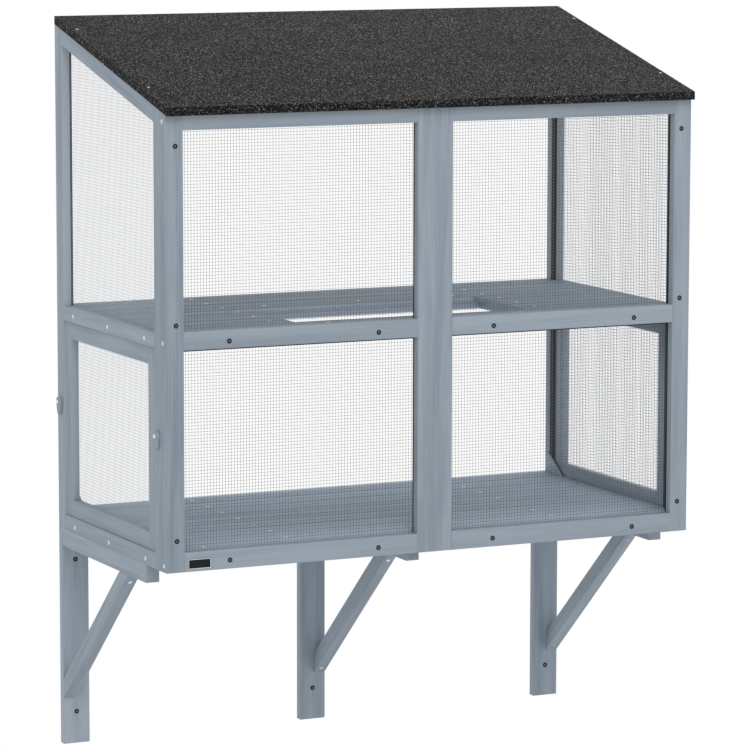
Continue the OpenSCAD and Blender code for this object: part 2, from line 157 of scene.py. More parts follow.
# Plate
PLATE_W = 47.4 * MM
PLATE_H = 19.4 * MM
PLATE_T = 0.9 * MM
PLATE_X = -506.2 * MM
PLATE_Z = 240.3 * MM
PLATE_CORNER = 1.2 * MM
PLATE_RIM = 1.1 * MM
PLATE_EDGE = 0.2 * MM
PLATE_SINK = 0.35 * MM


# Helpers for materials

def srgb(red, green, blue):
    """A colour from 0 to 255, as a screen shows it, in linear light."""
    def linear(value):
        share = value / 255
        return share / 12.92 if share <= 0.04045 else ((share + 0.055) / 1.055) ** 2.4
    return (linear(red), linear(green), linear(blue), 1)


class Finish:
    """A node material with short calls for the nodes that its pattern needs."""

    def __init__(self, name):
        self.material = bpy.data.materials.new(name)
        self.material.use_nodes = True
        self.tree = self.material.node_tree
        self.shader = self.tree.nodes["Principled BSDF"]
        self.place = self.add("TexCoord").outputs["Object"]

    def add(self, kind, **settings):
        node = self.tree.nodes.new("ShaderNode" + kind)
        for key, value in settings.items():
            setattr(node, key, value)
        return node

    def feed(self, socket, value):
        if isinstance(value, bpy.types.NodeSocket):
            self.tree.links.new(value, socket)
        else:
            socket.default_value = value

    def math(self, operation, *values):
        node = self.add("Math", operation=operation)
        for socket, value in zip(node.inputs, values):
            self.feed(socket, value)
        return node.outputs[0]

    def vector(self, operation, *values):
        node = self.add("VectorMath", operation=operation)
        for socket, value in zip(node.inputs, values):
            self.feed(socket, value)
        return node.outputs["Value" if operation == "DOT_PRODUCT" else "Vector"]

    def combine(self, x, y, z):
        node = self.add("CombineXYZ")
        for socket, value in zip(node.inputs, (x, y, z)):
            self.feed(socket, value)
        return node.outputs[0]

    def noise(self, place, scale, detail=2.0, roughness=0.5, distortion=0.0):
        node = self.add("TexNoise")
        for name, value in (("Vector", place), ("Scale", scale), ("Detail", detail),
                            ("Roughness", roughness), ("Distortion", distortion)):
            self.feed(node.inputs[name], value)
        return node.outputs["Fac"]

    def spread(self, value, low, high, to_low=0.0, to_high=1.0):
        """Maps the stretch from low to high onto the stretch from to_low to to_high."""
        node = self.add("MapRange")
        for socket, each in zip(node.inputs, (value, low, high, to_low, to_high)):
            self.feed(socket, each)
        return node.outputs[0]

    def blend(self, share, first, second):
        node = self.add("Mix", data_type="RGBA")
        self.feed(node.inputs["Factor"], share)
        self.feed(node.inputs["A"], first)
        self.feed(node.inputs["B"], second)
        return node.outputs["Result"]

    def ramp(self, value, *stops):
        node = self.add("ValToRGB")
        elements = node.color_ramp.elements
        while len(elements) < len(stops):
            elements.new(0.5)
        for element, (position, colour) in zip(elements, stops):
            element.position = position
            element.color = colour
        self.feed(node.inputs["Fac"], value)
        return node.outputs["Color"]

    def bump(self, height, distance, strength=1.0):
        node = self.add("Bump")
        node.inputs["Distance"].default_value = distance
        node.inputs["Strength"].default_value = strength
        self.feed(node.inputs["Height"], height)
        self.feed(self.shader.inputs["Normal"], node.outputs["Normal"])

    def set(self, **values):
        for name, value in values.items():
            self.feed(self.shader.inputs[name.replace("_", " ")], value)


# Finishes

# The paint in levels from 0 to 255: along the dark streaks, on most of the wood, and
# along the light streaks
PAINT_DARK = (134, 146, 158)
PAINT_MIDDLE = (147, 159, 170)
PAINT_LIGHT = (157, 169, 180)
PAINT_WORN = srgb(160, 167, 172)
STRIP_PAINT_DARK = srgb(138, 150, 162)
STRIP_PAINT_LIGHT = srgb(150, 162, 173)
BLACK = srgb(9, 9, 11)
BLACK_DUSTY = srgb(26, 27, 30)

# Some timbers are set lighter or bluer than the rest, in the same levels. Part of this is painted
# light: leg_left is lighter for the light from the left that falls on it, floor_boards and
# shelf_battens are lighter for more light inside the box, and the boards are bluer against the
# warmer light inside it. Those that aren't listed differ by up to half of TIMBER_SPREAD either way
TIMBER_SPREAD = 5
TIMBER_SCATTER = 0.618
LIGHTER = {
    "front_stile_outer_left": -5, "front_stile_outer_right": 1,
    "front_stile_inner_left": 0, "front_stile_inner_right": 0,
    "front_mid_rail_left": -1, "front_mid_rail_right": 5,
    "front_bottom_rail_left": 4, "front_bottom_rail_right": 1,
    "side_front_stile_left": -3, "side_rear_stile_left": 4,
    "leg_left": 12, "leg_middle": 0, "leg_right": -2, "brace_left": 1,
    "shelf_boards": -8, "shelf_battens": 20, "floor_boards": 17, "corner_gussets": 8}
BLUER = {"floor_boards": 10, "shelf_boards": 9}

# Timbers along the wall show their streaks less
LEVEL_STREAKS = 0.65

# Painted light: the paler front edge of the floor stands in for the stronger light that falls
# there
# The floor's paint is set paler towards its front edge, to match the photograph
FLOOR_PAINTED_LIGHT = srgb(200, 216, 232)
FLOOR_PAINTED_LIGHT_DEPTH = 200 * MM
FLOOR_PAINTED_LIGHT_SHARE = 0.66

# Painted light: the paler front-facing sides stand in for light that falls on them
# These timbers' sides that face the front are set paler, to match the photograph
FRONT_PAINTED_LIGHT = srgb(204, 216, 228)
FRONT_PAINTED_LIGHT_SHARE = {
    "panel_rear_stile_left": 0.3, "side_rear_stile_left": 0.5,
    "shelf_boards": 0.5, "shelf_battens": 0.9,
    "turn_button_front_left": 0.25, "turn_button_rear_left": 0.25}

# How far apart two timbers, and two planks, were cut from the log, in metres
LOG_STEP = 0.37
PLANK_STEP = 0.283

# How much each pattern is drawn out along the grain
STREAK_DRAW = 0.06
BOARD_DRAW = 0.05
FIBRE_DRAW = 0.02

# Sizes of the felt's granules and of its flakes
GRANULE = 1.7 * MM
FLAKE = 3.2 * MM


def grain_place(finish, grain, seed, planks):
    """Object coordinates turned so that the first one runs along the grain. Each piece,
    and each plank of a row, is cut from another part of the log."""
    side = Z_AXIS if abs(grain.x) > 0.5 else X_AXIS
    flat = grain.cross(side)
    along, across, up = (finish.vector("DOT_PRODUCT", finish.place, axis)
                         for axis in (grain, side, flat))
    shift = seed * LOG_STEP
    if planks:
        y = finish.vector("DOT_PRODUCT", finish.place, Y_AXIS)
        from_first = finish.math("SUBTRACT", y, planks)
        index = finish.math("FLOOR", finish.math("DIVIDE", from_first, PLANK_PITCH))
        shift = finish.math("MULTIPLY_ADD", index, PLANK_STEP, shift)
        along = finish.math("ADD", along, shift)
    up = finish.math("ADD", up, shift)
    across = finish.math("ADD", across, shift)
    return along, across, up


def drawn_out(finish, grained, share):
    """The place along the grain, for a pattern that is long in that direction."""
    along, across, up = grained
    return finish.combine(finish.math("MULTIPLY", along, share), across, up)


def paint_colours(node, grain, seed):
    """The dark, middle and light colour of the paint on one timber."""
    lighter = LIGHTER.get(node, TIMBER_SPREAD * (seed * TIMBER_SCATTER % 1 - 0.5))
    bluer = BLUER.get(node, 0) / 2
    streaks = LEVEL_STREAKS if abs(grain.x) > 0.5 else 1.0

    def colour(levels):
        return srgb(*(middle + (level - middle) * streaks + lighter + (i - 1) * bluer
                      for i, (level, middle) in enumerate(zip(levels, PAINT_MIDDLE))))
    return colour(PAINT_DARK), colour(PAINT_MIDDLE), colour(PAINT_LIGHT)


def late_wood(finish, stretched):
    """The dark, hard part of each growth ring."""
    rings = finish.add("TexWave", wave_type="RINGS", rings_direction="X", wave_profile="SAW")
    finish.feed(rings.inputs["Vector"], stretched)
    for key, value in (("Scale", math.pi / 10 / RING_PITCH), ("Distortion", 9.0),
                       ("Detail", 2.0), ("Detail Scale", 0.09), ("Detail Roughness", 0.55)):
        rings.inputs[key].default_value = value
    return finish.spread(rings.outputs["Fac"], 0.55, 1.0)


def painted_floor_light(finish, colour):
    """Painted light: lighter from the set depth behind the front face up to that face, for the
    stronger light that falls near the front.
    """
    y = finish.vector("DOT_PRODUCT", finish.place, Y_AXIS)
    share = finish.spread(y, FRONT_Y, FRONT_Y + FLOOR_PAINTED_LIGHT_DEPTH, FLOOR_PAINTED_LIGHT_SHARE, 0.0)
    return finish.blend(share, colour, FLOOR_PAINTED_LIGHT)


def painted_front_light(finish, colour, share):
    """Painted light: lighter on the faces that the attribute named front marks."""
    front = finish.add("Attribute", attribute_name="front")
    return finish.blend(finish.math("MULTIPLY", front.outputs["Fac"], share), colour, FRONT_PAINTED_LIGHT)


def worn(finish, colour, fine):
    """Patches of thin paint along the edges that the attribute named wear marks."""
    edges = finish.add("Attribute", attribute_name="wear")
    patchy = finish.spread(finish.noise(fine, 260, detail=3, roughness=0.7), 0.4, 0.65, 0.1, 0.6)
    return finish.blend(finish.math("MULTIPLY", edges.outputs["Fac"], patchy), colour, PAINT_WORN)


def painted_wood(node, grain, seed, planks=None):
    """Blue-grey paint on softwood: the grain still shows, as soft streaks, and the
    paint is thinner along the edges."""
    finish = Finish("paint_" + node)
    grained = grain_place(finish, grain, seed, planks)
    stretched = drawn_out(finish, grained, STREAK_DRAW)
    fine = drawn_out(finish, grained, FIBRE_DRAW)
    bands = finish.noise(stretched, 42, detail=2, roughness=0.5, distortion=0.3)
    streaks = finish.noise(stretched, 170, detail=3, roughness=0.6, distortion=0.3)
    fibres = finish.noise(fine, 900, detail=2, roughness=0.6)
    hard = late_wood(finish, stretched)
    tone = finish.math("ADD", finish.spread(bands, 0.3, 0.7, 0.12, 0.88),
                       finish.spread(streaks, 0.3, 0.7, -0.2, 0.2))
    tone = finish.math("MULTIPLY_ADD", hard, -0.24, tone)
    colour = finish.ramp(tone, *zip((0.0, 0.5, 1.0), paint_colours(node, grain, seed)))
    # Painted light on the floor's front edge and on the front-facing sides listed above
    if node == "floor_boards":
        colour = painted_floor_light(finish, colour)
    if node in FRONT_PAINTED_LIGHT_SHARE:
        colour = painted_front_light(finish, colour, FRONT_PAINTED_LIGHT_SHARE[node])
    finish.set(Base_Color=worn(finish, colour, fine),
               Roughness=finish.spread(fibres, 0.3, 0.7, 0.56, 0.7), Specular_IOR_Level=0.25)
    height = finish.math("MULTIPLY_ADD", hard, 0.5, finish.math("MULTIPLY", fibres, 0.7))
    finish.bump(height, 0.14 * MM, 0.6)
    return finish.material


def bare_wood():
    """The roof board's planed underside: warm, with dark pores along the grain."""
    finish = Finish("bare_board")
    grained = grain_place(finish, X_AXIS, 3, None)
    streaks = finish.noise(drawn_out(finish, grained, BOARD_DRAW), 38, detail=4, roughness=0.6,
                           distortion=0.6)
    pores = finish.noise(drawn_out(finish, grained, FIBRE_DRAW), 800, detail=2)
    colour = finish.ramp(streaks, (0.25, srgb(140, 124, 102)), (0.5, srgb(168, 153, 130)),
                         (0.78, srgb(186, 172, 150)))
    colour = finish.blend(finish.spread(pores, 0.6, 0.72, 0.0, 0.5), colour, srgb(104, 88, 68))
    finish.set(Base_Color=colour, Roughness=finish.spread(streaks, 0.3, 0.7, 0.6, 0.75))
    finish.bump(pores, 0.2 * MM, 0.6)
    return finish.material


def scattered(finish, size):
    """Cells of one size. Gives three random values for each cell, and the distance
    from its middle."""
    cells = finish.add("TexVoronoi", feature="F1")
    finish.feed(cells.inputs["Vector"], finish.place)
    cells.inputs["Scale"].default_value = 1 / size
    cells.inputs["Randomness"].default_value = 1.0
    split = finish.add("SeparateColor")
    finish.feed(split.inputs[0], cells.outputs["Color"])
    return split.outputs, cells.outputs["Distance"]


def mineral_felt():
    """Charcoal mineral granules in bitumen, with a few pale ones. The part that is turned down
    over the board's edges is darker: painted shade, as those faces catch less light than the top."""
    finish = Finish("mineral_felt")
    granules, granule_distance = scattered(finish, GRANULE)
    flakes, flake_distance = scattered(finish, FLAKE)
    cloud = finish.noise(finish.place, 7, detail=3)
    clusters = finish.noise(finish.place, 330, detail=2, roughness=0.7)
    tone = finish.math("ADD", granules[0], finish.spread(clusters, 0.35, 0.65, -0.25, 0.25))
    colour = finish.ramp(tone, (0.0, srgb(3, 3, 4)), (0.5, srgb(15, 15, 16)),
                         (0.85, srgb(52, 52, 52)), (1.0, srgb(140, 140, 138)))
    lip = finish.add("Attribute", attribute_name="lip")
    lip_shade_share = finish.math("MULTIPLY", lip.outputs["Fac"], 0.38)
    colour = finish.blend(lip_shade_share, colour, srgb(2, 2, 3))
    pale = finish.math("MULTIPLY", finish.math("GREATER_THAN", flakes[0], 0.955),
                       finish.math("LESS_THAN", flake_distance, 0.32))
    colour = finish.blend(finish.math("MULTIPLY", pale, 0.85), colour, srgb(190, 190, 188))
    colour = finish.blend(finish.spread(cloud, 0.35, 0.65, 0.0, 0.2), colour, srgb(16, 16, 18))
    finish.set(Base_Color=colour, Roughness=finish.spread(granules[1], 0.0, 1.0, 0.7, 0.95),
               Specular_IOR_Level=0.14)
    finish.bump(finish.math("SUBTRACT", 1.0, granule_distance), 0.7 * MM, 0.9)
    return finish.material


def galvanised(name, low, high):
    """Dull zinc with darker patches."""
    finish = Finish(name)
    spangle = finish.noise(finish.place, 240, detail=3, roughness=0.6)
    finish.set(Base_Color=finish.ramp(spangle, (0.3, low), (0.7, high)), Metallic=0.35,
               Roughness=finish.spread(spangle, 0.3, 0.7, 0.38, 0.55))
    finish.bump(spangle, 0.05 * MM, 0.5)
    return finish.material


def screw_metal(name, low, high, metallic):
    """Plated screw heads, with turning marks."""
    finish = Finish(name)
    marks = finish.noise(finish.place, 900, detail=2)
    finish.set(Base_Color=finish.ramp(marks, (0.3, low), (0.7, high)),
               Metallic=metallic, Roughness=finish.spread(marks, 0.3, 0.7, 0.28, 0.42))
    finish.bump(marks, 0.03 * MM, 0.4)
    return finish.material


def black_surface(finish, roughness):
    """A faint drawn texture and a little dust. Gives the black and the dust's pattern."""
    dust = finish.noise(finish.place, 55, detail=4, roughness=0.7)
    drawn = finish.noise(finish.place, 1400, detail=2)
    finish.set(Roughness=finish.spread(drawn, 0.3, 0.7, roughness - 0.06, roughness + 0.08),
               Specular_IOR_Level=0.2)
    finish.bump(drawn, 0.06 * MM, 0.5)
    return finish.ramp(dust, (0.35, BLACK), (0.85, BLACK_DUSTY)), dust


def black_plastic(name, roughness):
    finish = Finish(name)
    black, dust = black_surface(finish, roughness)
    finish.set(Base_Color=black)
    return finish.material


def net_strips(name, upper_foot):
    """Black strips. Those along the foot of each opening took the frames' paint."""
    finish = Finish(name)
    black, dust = black_surface(finish, 0.56)
    paint = finish.ramp(dust, (0.35, STRIP_PAINT_DARK), (0.85, STRIP_PAINT_LIGHT))
    height = finish.vector("DOT_PRODUCT", finish.place, Z_AXIS)
    lower_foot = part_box("front_bottom_rail_left")[1].z
    upper, lower = (finish.math("COMPARE", height, foot - FOOT_H / 2, FOOT_H / 2 + NEAR)
                    for foot in (upper_foot, lower_foot))
    finish.set(Base_Color=finish.blend(finish.math("MAXIMUM", upper, lower), black, paint))
    return finish.material


# Helpers for pieces

def finished(name, shape, material, body, replaced=()):
    """Makes a piece from a bmesh, gives it a material and hangs it on its body."""
    mesh = bpy.data.meshes.new(name)
    shape.to_mesh(mesh)
    shape.free()
    mesh.materials.append(material)
    mesh.shade_smooth()
    mesh.set_sharp_from_angle(angle=SMOOTH_ANGLE)
    piece = bpy.data.objects.new(name, mesh)
    bpy.context.scene.collection.objects.link(piece)
    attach(piece, body)
    if replaced:
        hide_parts(*replaced)
    return piece


def dress(node, material):
    """Gives a node of the frame its material."""
    data = frame["nodes"][node].data
    data.materials.clear()
    data.materials.append(material)


def body_of_node(node):
    return frame["nodes"][node]["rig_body"]


def node_mesh(node):
    """A copy of a node's solid, with its triangles joined at their corners."""
    copy = bmesh.new()
    copy.from_mesh(frame["nodes"][node].data)
    bmesh.ops.remove_doubles(copy, verts=copy.verts, dist=MERGE)
    return copy


def flatten(shape):
    """Merges the triangles of each flat side into one face."""
    bmesh.ops.dissolve_limit(shape, angle_limit=FLAT_ANGLE, verts=shape.verts, edges=shape.edges)


def plain_copy(node):
    copy = node_mesh(node)
    flatten(copy)
    return copy


def made_verts(result):
    """The new vertices of an operator."""
    return [made for made in result["geom"] if isinstance(made, bmesh.types.BMVert)]


# Timber

def square_arm(node):
    """A bracket's arm with its front end cut square."""
    copy = plain_copy(node)
    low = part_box(node)[0]
    for vert in copy.verts:
        if vert.co.z < low.z + NEAR and vert.co.y < low.y + ARM_CORNER:
            vert.co.y = low.y
    flatten(copy)
    return copy


def lowered(node, height, drop):
    """A copy of a node's solid with the corners at one height brought down."""
    copy = plain_copy(node)
    for vert in copy.verts:
        if abs(vert.co.z - height) < NEAR:
            vert.co.z -= drop
    return copy


def steep_brace(node):
    """A brace with its foot a little lower on the leg."""
    copy = plain_copy(node)
    for vert in copy.verts:
        if vert.co.y > BRACE_HIGH.y - NEAR:
            vert.co.z -= BRACE_FOOT_DROP
    return copy


def trimmed_gusset(node):
    """The gussets. The right one is thinner, lower and shorter at both ends."""
    copy = plain_copy(node)
    low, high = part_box(node)
    for spot in (vert.co for vert in copy.verts if vert.co.x > 0):
        if spot.x < high.x - NEAR:
            spot.x += GUSSET_THINNER
        if spot.z > high.z - NEAR:
            spot.z -= GUSSET_LOWER
        if spot.y > high.y - NEAR:
            spot.y -= GUSSET_REAR_CUT
        elif spot.y < low.y + NEAR:
            spot.y += GUSSET_FRONT_CUT
        else:
            spot.y += GUSSET_TOP_CUT
    return copy


def panel_timber(node):
    """A panel's timber. The panel's top and upright edges are a little further out, and
    the left panel's front stile is wider on its inner side."""
    copy = plain_copy(node)
    side = node.rsplit("_", 1)[1]
    front, inner = (corner.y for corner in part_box("panel_front_stile_" + side))
    rear_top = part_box("panel_rear_stile_" + side)[1]
    for spot in (vert.co for vert in copy.verts):
        if spot.y < front + NEAR:
            spot.y -= PANEL_SWELL
        elif spot.y > rear_top.y - NEAR:
            spot.y += PANEL_SWELL
        elif side == "left" and abs(spot.y - inner) < NEAR:
            spot.y += STILE_WIDER
        if spot.z > rear_top.z - NEAR:
            spot.z += PANEL_SWELL
    return copy


def timber_shape(node):
    if node.startswith("arm"):
        return square_arm(node)
    if node == "brace_left":
        return steep_brace(node)
    if node.startswith("side_mid_rail"):
        return lowered(node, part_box(node)[1].z, SIDE_RAIL_DROP)
    if node == "corner_gussets":
        return trimmed_gusset(node)
    if node.startswith("panel"):
        return panel_timber(node)
    return plain_copy(node)


def eased(copy, edge):
    """Rounds over the sharp edges. The attribute named wear is 1 on them, and the one named front
    is 1 on the sides that face the front; the painted light on those sides follows it."""
    sharp = [e for e in copy.edges if e.calc_face_angle(0) > SHARP_ANGLE]
    wear = copy.faces.layers.float.new("wear")
    rounded = bmesh.ops.bevel(copy, geom=sharp, offset=edge, segments=2, profile=0.5,
                              affect="EDGES", clamp_overlap=True, material=-1)
    for face in rounded["faces"]:
        face[wear] = 1.0
    front = copy.faces.layers.float.new("front")
    copy.normal_update()
    for face in copy.faces:
        face[front] = max(0.0, -face.normal.y)
    return copy


def grain_of(node):
    """Direction of the grain, along the member."""
    if node.startswith("brace"):
        run = BRACE_HIGH.y - BRACE_LOW.y
        rise = BRACE_HIGH.z - BRACE_LOW.z
        return Vector((0, -run, rise)).normalized()
    if node.startswith("side_top_rail"):
        return Vector((0, 1, ROOF_SLOPE)).normalized()
    if "stile" in node or node.startswith(("leg", "turn_button")):
        return Z_AXIS
    if node.startswith(("front", "rear", "shelf_boards", "floor_boards")):
        return X_AXIS
    return Y_AXIS


def make_timber():
    timber = [entry["node"] for entry in frame["record"]["subparts"]
              if entry["material_slot"] == "painted_wood"]
    for seed, node in enumerate(timber):
        boards = node.endswith("_boards")
        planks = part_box(node)[0].y if boards else None
        material = painted_wood(node, grain_of(node), seed, planks)
        edge = FINE_EASED_EDGE if boards or node.startswith("panel") else EASED_EDGE
        finished(node + "_eased", eased(timber_shape(node), edge), material, body_of_node(node),
                 [node])


# Felt

def make_felt():
    """The attribute named lip is 1 where the felt is turned down over the board, and marks where
    the felt is painted darker as shade.
    """
    felt = eased(plain_copy("roof_felt"), FELT_EASED_EDGE)
    lip = felt.faces.layers.float.new("lip")
    for face in felt.faces:
        face[lip] = 1.0 if face.normal.z < 0.6 else 0.0
    finished("roof_felt_eased", felt, mineral_felt(), "enclosure", ["roof_felt"])


# Nets

def wire(net, start, end):
    """One straight wire, as a thin prism."""
    line = end - start
    turn = line.to_track_quat("Z", "X").to_matrix().to_4x4()
    place = Matrix.Translation((start + end) / 2) @ turn
    bmesh.ops.create_cone(net, cap_ends=True, segments=WIRE_SIDES, radius1=WIRE_D / 2,
                          radius2=WIRE_D / 2, depth=line.length, matrix=place)


def even_places(low, high):
    """Wire centres from edge to edge, at about the pitch."""
    first = low + WIRE_D / 2
    last = high - WIRE_D / 2
    count = round((last - first) / WIRE_PITCH)
    return [first + (last - first) * i / count for i in range(count + 1)]


def welded_net(net, low, high, across, normal, slope=0.0):
    """Upright wires on the outer side and level wires behind them, in the flat box
    from low to high. across and normal are axis numbers. A slope cuts the top."""
    middle = (low[normal] + high[normal]) / 2
    inward = WIRE_D / 2 * (1 if low[normal] < 0 else -1)
    outer = middle - inward
    inner = middle + inward
    flat_top = high.z - slope * (high[across] - low[across])

    def point(side, depth, z):
        spot = Vector((0, 0, z))
        spot[across] = side
        spot[normal] = depth
        return spot

    for side in even_places(low[across], high[across]):
        top = flat_top + slope * (side - low[across])
        wire(net, point(side, outer, low.z), point(side, outer, top))
    for z in even_places(low.z, high.z):
        start = low[across]
        if z > flat_top:
            start += (z - flat_top) / slope
        if high[across] - start > WIRE_PITCH:
            wire(net, point(start, inner, z), point(high[across], inner, z))


def solids_of(node):
    """The lowest and highest corner of each separate solid of a node."""
    copy = node_mesh(node)
    waiting = set(copy.verts)
    boxes = []
    while waiting:
        found = {waiting.pop()}
        edge = list(found)
        while edge:
            near = {e.other_vert(v) for v in edge for e in v.link_edges} - found
            found |= near
            edge = list(near)
        waiting -= found
        points = [v.co for v in found]
        boxes.append((Vector(map(min, zip(*points))), Vector(map(max, zip(*points)))))
    copy.free()
    return sorted(boxes, key=lambda box: tuple(box[0]))


def make_nets():
    """The same galvanised wire in two colours: painted shade makes the front's wire dark, as seen
    against the light, and painted light makes the sides' wire bright.
    """
    shaded_wire_zinc = galvanised("galvanised_wire_front_painted_shade", srgb(80, 83, 86), srgb(108, 111, 114))
    zinc = galvanised("galvanised_wire_side_painted_light", srgb(160, 167, 174), srgb(188, 194, 200))
    for side in ("left", "right"):
        net = bmesh.new()
        for low, high in solids_of("front_net_" + side):
            welded_net(net, low, high, 0, 1)
        finished("front_mesh_" + side, net, shaded_wire_zinc, "enclosure",
                 ["front_net_" + side])
        for name, slope in (("side", ROOF_SLOPE), ("panel", 0.0)):
            node = name + "_net_" + side
            net = bmesh.new()
            low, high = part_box(node)
            welded_net(net, low, high, 1, 0, slope)
            finished(name + "_mesh_" + side, net, zinc, body_of_node(node), [node])


def make_strips():
    """The side frames' upper openings reach down to the shelf's level."""
    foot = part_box("front_mid_rail_left")[1].z
    dress("front_net_strips", net_strips("black_strip", foot))
    material = net_strips("side_black_strip", foot - SIDE_RAIL_DROP)
    for side in ("left", "right"):
        node = "side_net_strips_" + side
        finished("side_strips_" + side, lowered(node, foot, SIDE_RAIL_DROP), material, "enclosure",
                 [node])


# Shapes of screws and nails, on the plane Z = 0 and pointing to +Z

def cut_cross(head, radius, rise):
    """Pushes a cross down into a head's flat top."""
    arm = radius * 0.13
    reach = radius * 0.6
    depth = radius * 0.3
    top = rise * 0.95

    def top_faces():
        return [f for f in head.faces if f.normal.z > 0.99 and f.calc_center_median().z > top]

    for normal in (X_AXIS, Y_AXIS):
        for sign in (-1, 1):
            flat = top_faces()
            geom = flat + list({e for f in flat for e in f.edges})
            geom += list({v for f in flat for v in f.verts})
            bmesh.ops.bisect_plane(head, geom=geom, plane_co=normal * arm * sign, plane_no=normal)
    cross = []
    for face in top_faces():
        middle = face.calc_center_median()
        if middle.xy.length < reach and min(abs(middle.x), abs(middle.y)) < arm / 2:
            cross.append(face)
    pushed = bmesh.ops.extrude_face_region(head, geom=cross)
    bmesh.ops.delete(head, geom=cross, context="FACES_ONLY")
    bmesh.ops.translate(head, verts=made_verts(pushed), vec=(0, 0, -depth))
    bmesh.ops.recalc_face_normals(head, faces=head.faces)


def screw_head(radius, rise, domed=True):
    """A round head with a cross recess."""
    wall, shoulder, crown = (0.5, 0.35, 0.15) if domed else (1.0, 0.0, 0.0)
    head = bmesh.new()
    bmesh.ops.create_circle(head, cap_ends=True, radius=radius, segments=HEAD_SIDES)
    rim = bmesh.ops.extrude_face_region(head, geom=head.faces[:])
    bmesh.ops.translate(head, verts=made_verts(rim), vec=(0, 0, rise * wall))
    top = [made for made in rim["geom"] if isinstance(made, bmesh.types.BMFace)]
    if domed:
        bmesh.ops.inset_region(head, faces=top, thickness=radius * 0.16, depth=rise * shoulder)
    bmesh.ops.inset_region(head, faces=top, thickness=radius * 0.2, depth=rise * crown)
    cut_cross(head, radius, rise)
    return head


def side_head():
    return screw_head(SIDE_HEAD_R, SIDE_HEAD_RISE)


def board_head():
    return screw_head(BOARD_HEAD_R, BOARD_HEAD_RISE, domed=False)


def countersink_shade_ring():
    """Painted shade: a black ring round a cap screw, half round in section, standing in for the
    shadow in the screw's countersink.
    """
    ring = bmesh.new()
    middle = (SHADE_RING_R + SHADE_RING_HOLE_R) / 2
    half = (SHADE_RING_R - SHADE_RING_HOLE_R) / 2
    verts = []
    for step in range(SHADE_RING_STEPS + 1):
        angle = math.pi * step / SHADE_RING_STEPS
        side = middle + half * math.cos(angle)
        verts.append(ring.verts.new((side, 0, SHADE_RING_RISE * math.sin(angle))))
    edges = [ring.edges.new(pair) for pair in zip(verts, verts[1:] + verts[:1])]
    bmesh.ops.spin(ring, geom=verts + edges, cent=(0, 0, 0), axis=Z_AXIS, angle=math.tau,
                   steps=SHADE_RING_SIDES, use_merge=True)
    bmesh.ops.remove_doubles(ring, verts=ring.verts, dist=MERGE / 10)
    bmesh.ops.recalc_face_normals(ring, faces=ring.faces)
    return ring


def nail_head():
    """A flat head that narrows a little."""
    head = bmesh.new()
    bmesh.ops.create_cone(head, cap_ends=True, segments=HEAD_SIDES, radius1=NAIL_HEAD_R,
                          radius2=NAIL_HEAD_R * NAIL_TAPER, depth=NAIL_HEAD_RISE,
                          matrix=Matrix.Translation((0, 0, NAIL_HEAD_RISE / 2)))
    return head


def place_copies(pattern, spots):
    """One bmesh with a copy of the pattern at each spot, a place and an outward axis."""
    base = bpy.data.meshes.new("pattern")
    pattern.to_mesh(base)
    pattern.free()
    placed = bmesh.new()
    for place, axis in spots:
        before = len(placed.verts)
        placed.from_mesh(base)
        turn = axis.to_track_quat("Z", "Y").to_matrix().to_4x4()
        placed.verts.ensure_lookup_table()
        bmesh.ops.transform(placed, matrix=Matrix.Translation(place) @ turn,
                            verts=placed.verts[before:])
    bpy.data.meshes.remove(base)
    return placed


# Places of screws and nails

def at(x, y, z):
    """A place from millimetres, with the height taken from the box's underside."""
    return Vector((x * MM, y * MM, BOX_Z + z * MM))


def front_screws():
    """On the outer stiles, and on the bottom and mid rails."""
    stile_x, stile_heights = 553, (61.5, 480, 824)
    rail_places, rail_heights = (-442, -123, 130, 448), (17, 445)
    spots = [at(side * stile_x, FRONT_FACE, z) for side in (-1, 1) for z in stile_heights]
    spots += [at(x, FRONT_FACE, z) for x in rail_places for z in rail_heights]
    return [(spot, -Y_AXIS) for spot in spots]


def leg_screws():
    """The cap screws that hold the legs to the wall."""
    leg_face, heights = -18, (-385, -66)
    middles = [sum(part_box("leg_" + name), Vector()).x / 2 / MM
               for name in ("left", "middle", "right")]
    return [(at(x, leg_face, z), -Y_AXIS) for x in middles for z in heights]


def side_screws():
    """On both side frames' rails, and up their front stiles."""
    rail_heights = (12.5, 445.5)
    stile_y, stile_top = -561.5, 871
    places = [(y, z) for y in (-467, -275, -89) for z in rail_heights]
    places += [(stile_y, z) for z in rail_heights + (stile_top,)]
    return [(at(side * END_FACE, y, z), side * X_AXIS) for side in (-1, 1) for y, z in places]


def brace_screws():
    """The screws at each brace's ends, in metres. Three of them get the dimmer zinc, painted shade
    for screws that show no glint.
    """
    top_place, foot_place = (-0.355, 0.170), (-0.030, -0.116)
    run = BRACE_HIGH.y - BRACE_LOW.y
    rise = BRACE_HIGH.z - BRACE_LOW.z
    outward = Vector((0, -rise, -run)).normalized()
    bright = []
    painted = []
    for name, tops, feet in (("left", bright, painted), ("middle", bright, bright),
                             ("right", painted, painted)):
        low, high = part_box("brace_" + name)
        for spots, (y, z) in ((tops, top_place), (feet, foot_place)):
            spots.append((Vector(((low.x + high.x) / 2, y, z)), outward))
    return bright, painted


